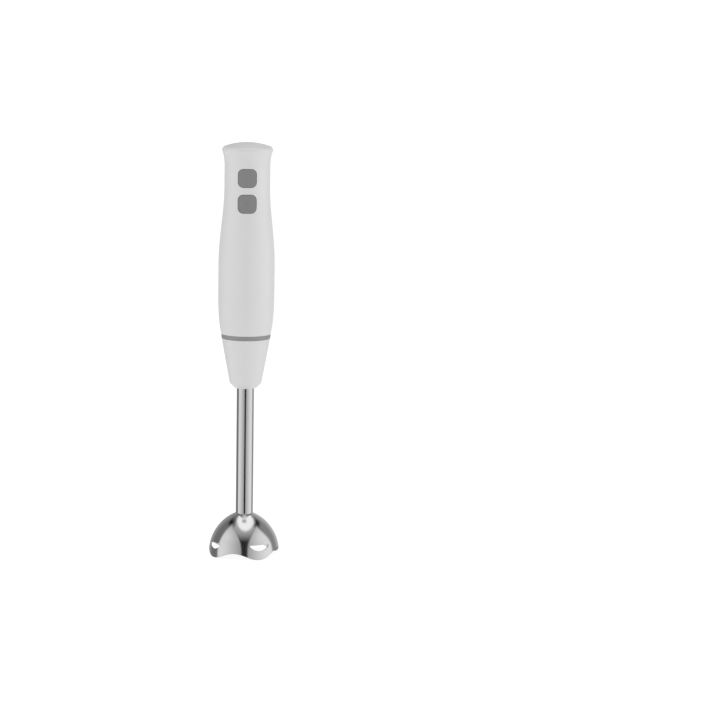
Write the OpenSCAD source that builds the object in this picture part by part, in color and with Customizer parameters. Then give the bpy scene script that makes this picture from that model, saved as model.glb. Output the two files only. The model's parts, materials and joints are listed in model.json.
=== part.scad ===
// Immersion blender: motor unit with two buttons, lift-off shaft leg and blade, in millimetres.
// +Z is up, the feet of the bell stand on z = 0 and the two buttons face -Y.

/* [Overall] */
// Height from the feet to the crown of the cap
total_h = 384.5; // [380:0.5:390]
// Clearance between pieces that slide past each other
slip = 0.3; // [0.2:0.05:0.4]
// Radial clearance of a shaft in its bearing
running = 0.05; // [0.02:0.01:0.1]

/* [Bell] */
// Outer radius of the blade bell
bell_r = 32.7; // [31:0.1:34]
// Sheet thickness of the bell
bell_wall = 0.9; // [0.7:0.1:1.2]
// Height of the bell's widest level above the feet
bell_centre_z = 2; // [1.5:0.1:3]
// Distance of the dome's arc centre beyond the axis
bell_arc_x = 7.8; // [6:0.1:10]
// Angle of the front arch of the rim from straight ahead
rim_turn = -16.5; // [-45:0.5:45]
// Mean height of the scalloped rim above the feet
rim_mean = 3.6; // [3:0.1:4]
// Extra height of the two side arches
rim_side = 1.45; // [0:0.05:1.5]
// Width of a feed slot
slot_w = 20.9; // [14:0.1:21.5]
// Height of a feed slot
slot_h = 5.5; // [4:0.1:6]
// Height of a feed slot's straight top edge
slot_top_z = 13.6; // [12.5:0.1:14.5]

/* [Leg] */
// Outer radius of the shaft tube
tube_r = 8; // [7.5:0.1:8.2]
// Wall of the shaft tube
tube_wall = 0.8; // [0.6:0.1:1]
// Height of the collar's lower edge
collar_z = 157; // [155:0.5:159]
// Radius of the collar above its lower bevel
collar_low_r = 14.7; // [13.5:0.1:15]
// Radius of the collar's upper edge
collar_top_r = 22.4; // [21.8:0.1:22.8]

/* [Drive] */
// Radius of the long drive rod
rod_r = 2.5; // [2:0.1:3]
// Radius swept by the blade
blade_r = 23; // [20:0.5:25]
// Number of splines on the drive dog
splines = 6; // [4:1:8]

/* [Housing] */
// Height of the grey trim ring
ring_h = 3.6; // [3.2:0.1:4]
// Radius of the grey trim ring
ring_r = 22.7; // [22.4:0.1:23]
// Height of the housing's lower edge
housing_z = 207.3; // [207.2:0.1:207.4]
// Radius of the housing's lower edge
base_r = 22.9; // [22.5:0.1:23.2]
// Largest radius of the grip
belly_r = 25.9; // [25.4:0.1:26.2]
// Radius of the neck behind the buttons
neck_r = 21; // [20.6:0.1:21.4]
// Radius of the lip under the cap
lip_r = 23.5; // [23.2:0.1:23.8]
// Wall of the housing shells
shell_wall = 2.2; // [1.8:0.1:2.3]

/* [Buttons] */
// Width of a button
button_w = 16.6; // [15:0.1:17.5]
// Height of a button
button_h = 16.6; // [15:0.1:17.5]
// Corner radius of a button
button_corner = 4.7; // [3:0.1:6]
// Inward travel of a button
button_travel = 1.8; // [1:0.1:1.8]
// Height of the upper button's centre
on_button_z = 352.9; // [352:0.1:353.5]
// Height of the lower button's centre
turbo_button_z = 329.4; // [328.8:0.1:330]

/* [Motor] */
// Radius of the motor can
can_r = 19; // [18:0.1:19.2]
// Radius of the motor shaft
motor_shaft_r = 2; // [1.5:0.1:2.2]
// Number of slots in the armature
armature_slots = 9; // [7:1:12]
// Number of fan blades
fan_blades = 9; // [6:1:12]

/* [Hidden] */
$fn = 96;
eps = 0.01;

// heights of the leg
inner_r = bell_r - bell_wall;
dome_r = inner_r + bell_arc_x;
tube_z = 33;
tube_top_z = 176;
bevel_h = 4.7;
bevel_low_r = 10.2;
collar_top_z = housing_z - ring_h - 0.2;
flange_z = collar_top_z - 2.2;
boss_top_z = 168;
weld_r = tube_r + 3;
weld_top_z = bell_centre_z + sqrt(pow(dome_r, 2) - pow(weld_r + bell_arc_x, 2)) - 0.2;

// the bayonet socket
socket_r = 16.6;
socket_bore_r = 13.8;
socket_floor_z = 178;
socket_seat_z = 189;
gate_r = 15.4;
pocket_h = 7;
cup_well_r = 9.4;
clip_well_r = rod_r + 2.9;

// the drive line of the leg
rod_z = 12.4;
rod_top_z = 186;
cup_z = 182;
cup_top_z = 196;
blade_z = 14.6;
blade_t = 1.4;
sleeve_r = 5.6;
hub_top_z = 28.3;
nut_r = 4.6;

// the spigot of the motor unit
spigot_z = 190;
spigot_r = socket_bore_r - slip - 0.1;
spigot_wall = 2;
lug_r = gate_r - slip - 0.1;
lug_angle = 30;
gate_angle = 36;
lugs = 3;
spigot_floor_z = 199.5;
spigot_floor_top_z = 202;
ring_z = housing_z - ring_h;
ring_step_h = 1.5;
ring_step_r = 18.8;
ring_inner_r = 17;
disc_top_z = 209.6;
disc_gap = 0.1;
disc_r = base_r - shell_wall - disc_gap;

// heights of the housing
belly_low_z = 250;
belly_top_z = 272;
neck_low_z = 345;
neck_top_z = 360;
lip_z = 377.1;
lip_round = 4.1;
lip_turn = 71;
lip_top_z = lip_z + lip_round * sin(lip_turn);
cap_gap = 0.15;
cap_r = lip_r - lip_round + lip_round * cos(lip_turn) - cap_gap;
cap_edge_z = lip_top_z;
cap_seat_z = 378;
cap_seat_r = 20.1;
skirt_r = 19.3;
skirt_z = 374;

// inside the motor unit
can_z = 212;
can_top_z = 266;
can_wall = 2;
magnet_z = 222;
magnet_top_z = 262;
core_z = 226;
core_top_z = 258;
core_r = 13.7;
winding_h = 6.5;
heap_r = 12.6;
bar_ring_r = 10.2;
bar_r = 2.1;
commutator_top_z = 277;
brush_z = 272.5;
end_bell_top_z = 284;
fan_z = 287.5;
shaft_z = 190;
shaft_top_z = 297;
vent_low_z = 222;
vent_high_z = 283;
vent_step = 3.6;

// behind the buttons
window_gap = 0.2;
bracket_y = -11;
board_y = -9.6;
board_t = 1.6;
board_back_y = board_y + board_t;
board_z = 314;
board_top_z = 363;
plunger_h = 1;
pin_h = 0.2;
flange_t = 1.2;
flange_y = bracket_y - plunger_h - 0.2 - button_travel - pin_h - flange_t;
post_x = 12.2;
post_z = (on_button_z + turbo_button_z) / 2;
gland_z = 361.5;
gland_bore_r = 3.2;
gland_r = 5;
gland_face_y = 21.8;
clamp_z = 346;
clamp_x = 7;
screw_seat_y = 8;
screw_r = 1.25;
screw_spots = [[14, 304], [-14, 304], [12.6, 369], [-12.6, 369]];

// ---------- shared shapes ----------

// ring about Z between two heights
module ring(inner, outer, low, high) {
    translate([0, 0, low])
        difference() {
            cylinder(h = high - low, r = outer);
            translate([0, 0, -1]) cylinder(h = high - low + 2, r = inner);
        }
}

// round bar along Y at a given x and z
module bar_y(x, z, r, from, to) {
    translate([x, from, z])
        rotate([-90, 0, 0])
            cylinder(h = to - from, r = r);
}

// block given by its low and high corners
module block(low, high) {
    translate(low) cube(high - low);
}

// rectangle with round corners, centred on the origin
module round_rect(w, h, r) {
    square([w - 2 * r, h], center = true);
    square([w, h - 2 * r], center = true);
    for (x = [-1, 1], y = [-1, 1])
        translate([x * (w / 2 - r), y * (h / 2 - r)])
            circle(r = r);
}

// prism along Y with a rounded rectangle as its outline
module round_prism_y(w, h, r, z, from, to) {
    translate([0, to, z])
        rotate([90, 0, 0])
            linear_extrude(height = to - from)
                round_rect(w, h, r);
}

// radius of the outside of the housing at a height
function housing_r(z) =
    z < belly_low_z ?
        belly_r - (belly_r - base_r) * pow((belly_low_z - z) / (belly_low_z - housing_z), 3) :
    z < belly_top_z ? belly_r :
    z < neck_low_z ?
        neck_r + (belly_r - neck_r) * (1 + cos(180 * (z - belly_top_z) / (neck_low_z - belly_top_z))) / 2 :
    z < neck_top_z ? neck_r :
    neck_r + (lip_r - neck_r) * pow((z - neck_top_z) / (lip_z - neck_top_z), 3);

// evenly spaced heights between two levels
function levels(low, high, count) = [for (i = [0:count]) low + (high - low) * i / count];

// heights at which the housing's outline changes slope
housing_levels = concat(
    levels(housing_z, belly_low_z, 8),
    levels(belly_top_z, neck_low_z, 14),
    levels(neck_top_z, lip_z, 8)
);

function reversed(list) = [for (i = [len(list) - 1:-1:0]) list[i]];

// outline of the housing, moved in or out by an offset
function housing_side(offset) = [for (z = housing_levels) [housing_r(z) + offset, z]];

// inside of the housing's wall, with a seat for the cap at its top
function housing_inside() = [
    for (z = housing_levels)
        [z > neck_top_z ? min(housing_r(z) - shell_wall, cap_seat_r) : housing_r(z) - shell_wall, z]
];

// round shoulder from the lip to the edge of the cap
function lip_edge() = [
    for (a = levels(0, lip_turn, 6))
        [lip_r - lip_round + lip_round * cos(a), lip_z + lip_round * sin(a)]
];

// solid inside the housing's outside face, moved in or out by an offset
module housing_core(offset) {
    rotate_extrude()
        polygon(concat([[0, housing_z]], housing_side(offset), [[0, lip_z]]));
}

// half of the housing's wall, as a revolved profile
module half_wall(start) {
    rotate_extrude(angle = 180, start = start)
        polygon(concat(
            housing_side(0),
            lip_edge(),
            [[cap_r + cap_gap, lip_top_z], [cap_r + cap_gap, cap_seat_z], [cap_seat_r, cap_seat_z]],
            reversed(housing_inside())
        ));
}

// inner rib that traps the motor base's disc, over half a turn
module half_rib(start) {
    rib_r = 19.6;
    rotate_extrude(angle = 180, start = start)
        translate([rib_r, disc_top_z + 0.2])
            square([housing_r(disc_top_z) - 1 - rib_r, 1.6]);
}

// coil spring of round wire along Z, from 0 to a height
module coil(r, wire, height, turns, per_turn = 18, sides = 6) {
    rings = turns * per_turn;
    points = [
        for (i = [0:rings], k = [0:sides - 1])
            let (a = 360 * i / per_turn, b = 360 * k / sides, out = r + wire * cos(b))
                [out * cos(a), out * sin(a), wire + (height - 2 * wire) * i / rings + wire * sin(b)]
    ];
    walls = [
        for (i = [0:rings - 1], k = [0:sides - 1])
            let (next = (k + 1) % sides, low = i * sides, high = low + sides)
                [low + k, high + k, high + next, low + next]
    ];
    ends = [
        [for (k = [0:sides - 1]) k],
        [for (k = [sides - 1:-1:0]) rings * sides + k]
    ];
    polyhedron(points = points, faces = concat(walls, ends), convexity = 10);
}

// ---------- leg ----------

// height of the scalloped rim at an angle from its front arch
function rim_z(a) = rim_mean * (1 + cos(4 * a)) - rim_side * cos(2 * a);

// outline of one arch of the rim, seen along its own middle
function arch_outline(middle) = concat(
    [[-bell_r, -5]],
    [for (d = [-45:3:45]) [bell_r * sin(d), max(0, rim_z(middle + d))]],
    [[bell_r, -5]]
);

// half outline of the bell's dome and skirt, filled, of a given radius
module bell_profile(r) {
    intersection() {
        union() {
            translate([-bell_arc_x, bell_centre_z]) circle(r = r + bell_arc_x);
            translate([0, -1]) square([r, bell_centre_z + 1]);
        }
        translate([0, -1]) square([r + 1, 2 * r]);
    }
}

// polished bell with four feet, arches between them and a feed slot over each foot
module bell() {
    color("gainsboro")
        difference() {
            rotate_extrude()
                difference() {
                    intersection() {
                        bell_profile(bell_r);
                        translate([tube_r, 0]) square([bell_r, 2 * bell_r]);
                    }
                    bell_profile(inner_r);
                }
            for (i = [0:3])
                rotate([0, 0, rim_turn + 90 * i])
                    rotate([90, 0, 0])
                        linear_extrude(height = bell_r + 5)
                            intersection() {
                                polygon(arch_outline(90 * i));
                                translate([-bell_r * sin(45) - 1, -6])
                                    square([2 * bell_r * sin(45) + 2, 20]);
                            }
            for (i = [0:3])
                rotate([0, 0, rim_turn + 45 + 90 * i])
                    rotate([90, 0, 0])
                        linear_extrude(height = bell_r + 5)
                            slot_outline();
        }
}

// boat-shaped feed slot with a straight top edge
module slot_outline() {
    arc_r = (pow(slot_w / 2, 2) + pow(slot_h, 2)) / (2 * slot_h);
    intersection() {
        translate([0, slot_top_z - slot_h + arc_r]) circle(r = arc_r);
        translate([-slot_w, slot_top_z - slot_h - 1]) square([2 * slot_w, slot_h + 1]);
    }
}

// ring welded round the tube inside the dome
module bell_hub() {
    color("silver")
        ring(tube_r, weld_r, tube_z - 1.5, weld_top_z);
}

// polished shaft tube
module tube() {
    color("gainsboro")
        ring(tube_r - tube_wall, tube_r, tube_z, tube_top_z);
}

// sintered bush that carries the rod above the blade
module lower_bush() {
    color("peru")
        ring(rod_r + running, tube_r - tube_wall, tube_z + 1, tube_z + 12);
}

// lip seal below the lower bush
module shaft_seal() {
    color("dimgray")
        difference() {
            translate([0, 0, tube_z - 3.4]) cylinder(h = 4.4, r = tube_r - tube_wall);
            translate([0, 0, tube_z - 4]) cylinder(h = 6, r = rod_r + running);
            translate([0, 0, tube_z - 4]) ring(rod_r + 1.1, tube_r - tube_wall - 1.6, 0, 2.6);
        }
}

// pressed cover that holds the seal in the tube's end
module seal_cup() {
    color("silver")
        difference() {
            translate([0, 0, tube_z - 4.3]) cylinder(h = 4.3, r = tube_r);
            translate([0, 0, tube_z - 3.4]) cylinder(h = 5, r = tube_r - tube_wall);
            translate([0, 0, tube_z - 5]) cylinder(h = 5, r = rod_r + 1.4);
        }
}

// flanged bush at the top of the tube
module upper_bush() {
    color("peru")
        difference() {
            union() {
                translate([0, 0, boss_top_z]) cylinder(h = tube_top_z - boss_top_z, r = tube_r - tube_wall);
                translate([0, 0, tube_top_z]) cylinder(h = 2, r = tube_r + 1);
            }
            translate([0, 0, boss_top_z - 1]) cylinder(h = 14, r = rod_r + running);
        }
}

// conical plastic collar round the top of the tube
module leg_collar() {
    bevel_top_z = collar_z + bevel_h;
    inner_top_r = collar_top_r - 2.6;
    color("whitesmoke")
        rotate_extrude()
            polygon([
                [tube_r, collar_z],
                [bevel_low_r - 0.8, collar_z],
                [bevel_low_r, collar_z + 0.25],
                [bevel_low_r + 0.6, collar_z + 0.7],
                [collar_low_r - 0.5, bevel_top_z - 0.7],
                [collar_low_r, bevel_top_z + 0.3],
                [collar_top_r, collar_top_z - 0.5],
                [collar_top_r - 0.45, collar_top_z],
                [inner_top_r + 0.8, collar_top_z],
                [inner_top_r + 0.8, flange_z],
                [inner_top_r - 0.3, flange_z],
                [collar_low_r - 1.2, boss_top_z],
                [tube_r, boss_top_z]
            ]);
}

// bayonet socket inside the collar
module leg_socket() {
    color("lightgray")
        difference() {
            union() {
                translate([0, 0, boss_top_z])
                    cylinder(h = socket_floor_z - boss_top_z, r = tube_r + 2.6);
                translate([0, 0, socket_floor_z])
                    cylinder(h = socket_seat_z - socket_floor_z, r = socket_r - 3);
                translate([0, 0, socket_seat_z - 1.5])
                    cylinder(h = collar_top_z - socket_seat_z + 1.5, r = socket_r);
                translate([0, 0, flange_z])
                    cylinder(h = collar_top_z - flange_z, r = collar_top_r - 1.8);
            }
            translate([0, 0, boss_top_z - 1]) cylinder(h = tube_top_z - boss_top_z + 1, r = tube_r);
            translate([0, 0, tube_top_z - eps]) cylinder(h = 2 + 2 * eps, r = tube_r + 1);
            translate([0, 0, socket_floor_z - 1]) cylinder(h = 5, r = clip_well_r);
            translate([0, 0, cup_z - 1]) cylinder(h = 30, r = cup_well_r);
            translate([0, 0, socket_seat_z]) cylinder(h = 30, r = socket_bore_r);
            for (i = [0:lugs - 1])
                rotate([0, 0, 360 / lugs * i]) {
                    rotate_extrude(angle = gate_angle, start = -gate_angle / 2)
                        translate([socket_bore_r - 1, socket_seat_z])
                            square([gate_r - socket_bore_r + 1, 30]);
                    rotate_extrude(angle = gate_angle + 22, start = -gate_angle / 2)
                        translate([socket_bore_r - 1, socket_seat_z])
                            square([gate_r - socket_bore_r + 1, pocket_h]);
                }
        }
}

// ---------- drive shaft ----------

// long drive rod through the tube
module drive_rod() {
    color("lightsteelblue")
        translate([0, 0, rod_z]) cylinder(h = rod_top_z - rod_z, r = rod_r);
}

// clip that stops the rod from dropping
module rod_clip() {
    color("dimgray")
        difference() {
            ring(rod_r, clip_well_r - 0.6, socket_floor_z + 0.2, socket_floor_z + 1.4);
            block([-1, 0, socket_floor_z - 1], [1, 6, socket_floor_z + 3]);
        }
}

// star outline shared by the dog and its cup
module star(r, grow) {
    circle(r = r - 1.4 + grow);
    for (i = [0:splines - 1])
        rotate(360 / splines * i)
            translate([0, -0.9 - grow]) square([r + grow, 1.8 + 2 * grow]);
}

// cup that takes the motor's dog
module drive_cup() {
    color("gray")
        difference() {
            union() {
                translate([0, 0, cup_z]) cylinder(h = rod_top_z - cup_z + 0.2, r = 4.6);
                translate([0, 0, rod_top_z]) cylinder(h = cup_top_z - rod_top_z, r = 7);
            }
            translate([0, 0, cup_z - 1]) cylinder(h = rod_top_z - cup_z + 1, r = rod_r);
            translate([0, 0, rod_top_z + 0.8]) linear_extrude(height = 12) star(5, 0.35);
        }
}

// sleeve that carries the blade
module blade_hub() {
    color("silver")
        difference() {
            rotate_extrude()
                polygon([
                    [rod_r, blade_z + blade_t], [sleeve_r, blade_z + blade_t], [sleeve_r, 22],
                    [4.4, 24.5], [3.6, hub_top_z], [rod_r, hub_top_z]
                ]);
            for (x = [-1, 1])
                translate([x * 6.6, 0, 19]) cube([3, 12, 8], center = true);
        }
}

// outline of one wing of the blade, from the hub outwards
module wing_outline() {
    polygon([
        [4, -4.6], [9, -4.9], [blade_r - 6, -3.9], [blade_r - 1.2, -1.2],
        [blade_r - 0.4, 1.6], [blade_r - 3, 3.1], [9, 2.4], [4, 4.6]
    ]);
}

// two-winged blade, one wing swept up and one down, with ground edges
module blade() {
    tilts = [-13, 9];
    color("silver")
        difference() {
            union() {
                translate([0, 0, blade_z]) cylinder(h = blade_t, r = 6.4);
                for (i = [0, 1])
                    rotate([0, 0, 40 + 180 * i])
                        translate([4.6, 0, blade_z + blade_t / 2])
                            rotate([0, tilts[i], 0])
                                translate([-4.6, 0, -blade_t / 2])
                                    difference() {
                                        linear_extrude(height = blade_t) wing_outline();
                                        translate([0, -5.4, blade_t])
                                            rotate([-38, 0, 0])
                                                cube([2 * blade_r + 4, 4, 4], center = true);
                                    }
            }
            translate([0, 0, blade_z - 6]) cylinder(h = 12, r = rod_r);
            translate([0, 0, blade_z + blade_t]) cylinder(h = 3, r = sleeve_r);
            translate([0, 0, blade_z - 3]) cylinder(h = 3, r = nut_r + 0.1);
        }
}

// domed nut under the blade
module blade_nut() {
    color("silver")
        difference() {
            union() {
                translate([0, 0, blade_z - 2.6]) cylinder(h = 2.6, r = nut_r, $fn = 6);
                translate([0, 0, blade_z - 3.2]) cylinder(h = 1, r1 = 2.6, r2 = 3.8);
            }
            translate([0, 0, rod_z]) cylinder(h = 5, r = rod_r);
        }
}

// ---------- motor unit ----------

// spigot with bayonet lugs, and the floor under the motor
module motor_base() {
    color("gray")
        difference() {
            union() {
                translate([0, 0, spigot_z]) cylinder(h = housing_z - spigot_z, r = spigot_r);
                for (i = [0:lugs - 1])
                    rotate_extrude(angle = lug_angle, start = 360 / lugs * i - lug_angle / 2)
                        translate([spigot_r - 1, spigot_z + 1.5]) square([lug_r - spigot_r + 1, 3]);
                translate([0, 0, ring_z]) cylinder(h = ring_step_h, r = ring_step_r);
                translate([0, 0, ring_z]) cylinder(h = ring_h, r = ring_inner_r);
                translate([0, 0, housing_z]) cylinder(h = disc_top_z - housing_z, r = disc_r);
            }
            translate([0, 0, spigot_z - 1])
                cylinder(h = spigot_floor_z - spigot_z + 1, r = spigot_r - spigot_wall);
            translate([0, 0, spigot_z]) cylinder(h = 30, r = 6);
            ring(8, spigot_r - spigot_wall, spigot_floor_top_z, spigot_floor_top_z + 20);
            difference() {
                translate([0, 0, 197]) cylinder(h = 1.8, r = spigot_r + 1);
                translate([0, 0, 196]) cylinder(h = 4, r = spigot_r - 1);
            }
        }
}

// seal in the spigot's groove
module o_ring() {
    color("dimgray")
        rotate_extrude()
            translate([spigot_r - 0.44, 197.9]) circle(r = 0.53, $fn = 24);
}

// grey ring between the housing and the leg
module trim_ring() {
    edge = 0.35;
    color("gray")
        rotate_extrude()
            polygon([
                [ring_step_r, ring_z], [ring_r - edge, ring_z], [ring_r, ring_z + edge],
                [ring_r, housing_z - edge], [ring_r - edge, housing_z], [ring_inner_r, housing_z],
                [ring_inner_r, ring_z + ring_step_h], [ring_step_r, ring_z + ring_step_h]
            ]);
}

// front half of the housing, with the two button windows
module front_housing() {
    color("whitesmoke")
        difference() {
            union() {
                half_wall(180);
                half_rib(180);
                intersection() {
                    housing_core(-shell_wall + 0.8);
                    union() {
                        for (p = screw_spots) bar_y(p[0], p[1], 2.9, -30, 0);
                        for (x = [-post_x, post_x]) bar_y(x, post_z, 1.9, -30, bracket_y);
                    }
                }
            }
            for (z = [on_button_z, turbo_button_z])
                round_prism_y(button_w + 2 * window_gap, button_h + 2 * window_gap,
                    button_corner + window_gap, z, -40, -12);
            for (p = screw_spots) bar_y(p[0], p[1], screw_r, -9, 1);
            for (x = [-post_x, post_x]) bar_y(x, post_z, 0.9, -13.5, -9);
        }
}

// rear half of the housing, with the cord inlet and the air slots
module rear_housing() {
    color("whitesmoke")
        difference() {
            union() {
                half_wall(0);
                half_rib(0);
                intersection() {
                    housing_core(-shell_wall + 0.8);
                    union() {
                        for (p = screw_spots) bar_y(p[0], p[1], 4.2, 0, 30);
                        for (x = [-clamp_x, clamp_x]) bar_y(x, clamp_z, 2.3, 12.6, 30);
                    }
                }
                bar_y(0, gland_z, 7.6, 17, gland_face_y);
            }
            for (p = screw_spots) {
                bar_y(p[0], p[1], 1.6, -1, 30);
                bar_y(p[0], p[1], 3, screw_seat_y, 30);
            }
            for (x = [-clamp_x, clamp_x]) bar_y(x, clamp_z, 0.9, 10, 16);
            bar_y(0, gland_z, gland_r, 10, 30);
            for (i = [0:4]) air_slot(vent_high_z + vent_step * i, 20);
            for (i = [0:2]) air_slot(vent_low_z + vent_step * i, 16);
        }
}

// air slot with round ends through the rear wall
module air_slot(z, w) {
    round_prism_y(w, 1.8, 0.89, z, 12, 40);
}

// domed cap in the lip of the housing
module top_cap() {
    rise = total_h - cap_edge_z;
    dome = (pow(cap_r, 2) + pow(rise, 2)) / (2 * rise);
    wall = 2.2;
    inner_r = skirt_r - 1.8;
    color("whitesmoke")
        rotate_extrude()
            difference() {
                union() {
                    intersection() {
                        translate([0, total_h - dome]) circle(r = dome);
                        translate([0, cap_seat_z]) square([cap_r, 20]);
                    }
                    translate([0, skirt_z]) square([skirt_r, cap_seat_z + 1 - skirt_z]);
                }
                intersection() {
                    translate([0, total_h - dome - wall]) circle(r = dome);
                    translate([0, skirt_z - 4]) square([inner_r, 20]);
                }
            }
}

// rubber grommet that the cord enters through
module cord_gland() {
    color("dimgray")
        translate([0, 0, gland_z])
            rotate([-90, 0, 0])
                rotate_extrude()
                    polygon([
                        [gland_bore_r, 15.6], [6.3, 15.6], [6.3, 17], [gland_r, 17],
                        [gland_r, gland_face_y], [6.9, gland_face_y], [6.9, gland_face_y + 1.2],
                        [6.3, gland_face_y + 1.8], [5, 26.4], [4.6, 26.8], [gland_bore_r, 26.8]
                    ]);
}

// bar that clamps the cord inside the rear half
module cord_clamp() {
    color("gray")
        difference() {
            block([-clamp_x - 2.6, 9.8, clamp_z - 2.6], [clamp_x + 2.6, 12.6, clamp_z + 2.6]);
            for (x = [-clamp_x, clamp_x]) bar_y(x, clamp_z, 1.1, 8, 14);
            translate([0, 13.6, clamp_z]) cylinder(h = 10, r = 3.2, center = true);
        }
}

// pan-head screw along Y: its head between two depths, its shank on to the tip
module screw_y(x, z, r, head_r, head_from, head_to, tip) {
    bar_y(x, z, head_r, min(head_from, head_to), max(head_from, head_to));
    bar_y(x, z, r, min(head_to, tip), max(head_to, tip));
}

// two screws of the cord clamp
module clamp_screws() {
    color("silver")
        for (x = [-clamp_x, clamp_x])
            screw_y(x, clamp_z, 0.9, 1.8, 8.5, 9.8, 15.8);
}

// four screws that join the housing halves
module housing_screws() {
    color("silver")
        for (p = screw_spots)
            difference() {
                screw_y(p[0], p[1], screw_r, 2.7, screw_seat_y + 2, screw_seat_y, -8.8);
                bar_y(p[0], p[1], 1, screw_seat_y + 1, screw_seat_y + 3, $fn = 6);
            }
}

// rubber ring under the motor
module lower_damper() {
    color("dimgray") ring(can_r, 21.2, can_z + 1, can_z + 6);
}

// rubber ring near the top of the motor
module upper_damper() {
    color("dimgray") ring(can_r, 23.2, 256, 262);
}

// pressed steel can of the motor
module motor_can() {
    color("lightslategray")
        difference() {
            union() {
                translate([0, 0, can_z]) cylinder(h = can_top_z - can_z, r = can_r);
                translate([0, 0, can_z - 2]) cylinder(h = 3, r = 7.5);
            }
            translate([0, 0, can_z + can_wall]) cylinder(h = 80, r = can_r - can_wall);
            translate([0, 0, can_z - 3]) cylinder(h = 10, r = 5.5);
            for (i = [0:3])
                rotate([0, 0, 45 + 90 * i])
                    translate([12.5, 0, can_z - 1]) cylinder(h = 5, r = 2.4);
        }
}

// two curved magnets inside the can
module magnets() {
    color("darkslategray")
        for (start = [20, 200])
            rotate_extrude(angle = 140, start = start)
                translate([core_r + 0.7, magnet_z])
                    square([can_r - can_wall - core_r - 0.7, magnet_top_z - magnet_z]);
}

// sintered bearing in the can's floor
module lower_bearing() {
    color("peru") ring(motor_shaft_r + running, 5.5, can_z - 1.6, can_z + 4.4);
}

// plastic end frame with the brush gear
module end_bell() {
    color("black")
        difference() {
            union() {
                translate([0, 0, can_top_z]) cylinder(h = end_bell_top_z - can_top_z, r = can_r);
                translate([0, 0, end_bell_top_z - 1]) cylinder(h = 3, r = 7.2);
            }
            translate([0, 0, can_top_z - 1]) cylinder(h = 16, r = can_r - can_wall);
            translate([0, 0, can_top_z]) cylinder(h = 30, r = 5);
            for (i = [0:3])
                rotate([0, 0, 45 + 90 * i])
                    translate([13, 0, end_bell_top_z - 5]) cylinder(h = 8, r = 2.8);
        }
}

// sintered bearing in the end frame
module upper_bearing() {
    color("peru") ring(motor_shaft_r + running, 5, end_bell_top_z - 3, end_bell_top_z + 1.6);
}

// two brass brush boxes
module brush_holders() {
    color("goldenrod")
        for (side = [0, 180])
            rotate([0, 0, side])
                difference() {
                    block([6, -3.1, brush_z - 3.6], [16.6, 3.1, brush_z + 3.6]);
                    block([5, -2.3, brush_z - 2.8], [18, 2.3, brush_z + 2.8]);
                }
}

// two carbon brushes on the commutator
module carbon_brushes() {
    color("dimgray")
        for (side = [0, 180])
            rotate([0, 0, side])
                block([5.15, -2.2, brush_z - 2.7], [12, 2.2, brush_z + 2.7]);
}

// two springs behind the brushes
module brush_springs() {
    color("silver")
        for (side = [0, 180])
            rotate([0, 0, side])
                translate([12, 0, brush_z])
                    rotate([0, 90, 0])
                        coil(1.7, 0.28, 4.8, 5);
}

// motor shaft, from the dog up to the fan
module motor_shaft() {
    color("lightsteelblue")
        translate([0, 0, shaft_z]) cylinder(h = shaft_top_z - shaft_z, r = motor_shaft_r);
}

// slotted iron core of the armature
module armature_core() {
    color("slategray")
        difference() {
            ring(motor_shaft_r, core_r, core_z, core_top_z);
            for (i = [0:armature_slots - 1])
                rotate([0, 0, 360 / armature_slots * i]) {
                    translate([bar_ring_r, 0, core_z - 1])
                        cylinder(h = core_top_z - core_z + 2, r = bar_r + 0.2);
                    block([10, -0.6, core_z - 1], [16, 0.6, core_top_z + 1]);
                }
        }
}

// copper winding: bars in the slots and a heap of turns at each end
module armature_winding() {
    color("sienna") {
        for (i = [0:armature_slots - 1])
            rotate([0, 0, 360 / armature_slots * i])
                translate([bar_ring_r, 0, core_z - 0.5])
                    cylinder(h = core_top_z - core_z + 1, r = bar_r);
        for (end = [[core_z - winding_h, 0], [core_top_z, winding_h]])
            difference() {
                translate([0, 0, end[0]]) cylinder(h = winding_h, r = heap_r);
                translate([0, 0, end[0] - 1]) cylinder(h = winding_h + 2, r = 4.2);
                translate([0, 0, end[0] + end[1]])
                    rotate_extrude() translate([heap_r, 0]) circle(r = 2.2);
            }
    }
}

// copper commutator with a slit between segments
module commutator() {
    color("darkgoldenrod")
        difference() {
            ring(motor_shaft_r, 5, can_top_z, commutator_top_z);
            for (i = [0:armature_slots - 1])
                rotate([0, 0, 360 / armature_slots * i])
                    block([3.6, -0.25, can_top_z - 1], [6, 0.25, commutator_top_z - 1]);
        }
}

// cooling fan on the top of the shaft
module fan() {
    color("darkslategray")
        difference() {
            union() {
                translate([0, 0, fan_z]) cylinder(h = 1.4, r = 17);
                translate([0, 0, fan_z]) cylinder(h = 8, r = 4.5);
                for (i = [0:fan_blades - 1])
                    rotate([0, 0, 360 / fan_blades * i])
                        translate([9.6, 0, fan_z + 4])
                            rotate([0, 0, 18])
                                cube([12.4, 1, 7], center = true);
            }
            translate([0, 0, fan_z - 1]) cylinder(h = 12, r = motor_shaft_r);
        }
}

// splined dog on the bottom of the motor shaft
module drive_dog() {
    color("silver")
        difference() {
            union() {
                translate([0, 0, rod_top_z + 2]) linear_extrude(height = 9) star(5, 0);
                translate([0, 0, rod_top_z + 10.5]) cylinder(h = 3, r = 5.3);
            }
            translate([0, 0, shaft_z]) cylinder(h = 20, r = motor_shaft_r);
        }
}

// ---------- buttons and electrics ----------

// plate that carries the circuit board behind the buttons
module switch_bracket() {
    color("lightgray")
        difference() {
            block([-14.2, bracket_y, board_z + 4], [14.2, board_y, board_top_z]);
            for (z = [on_button_z, turbo_button_z])
                block([-3.3, bracket_y - 1, z - 3.3], [3.3, board_y + 1, z + 3.3]);
            for (x = [-post_x, post_x]) bar_y(x, post_z, 1.1, bracket_y - 1, board_y + 1);
        }
}

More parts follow.
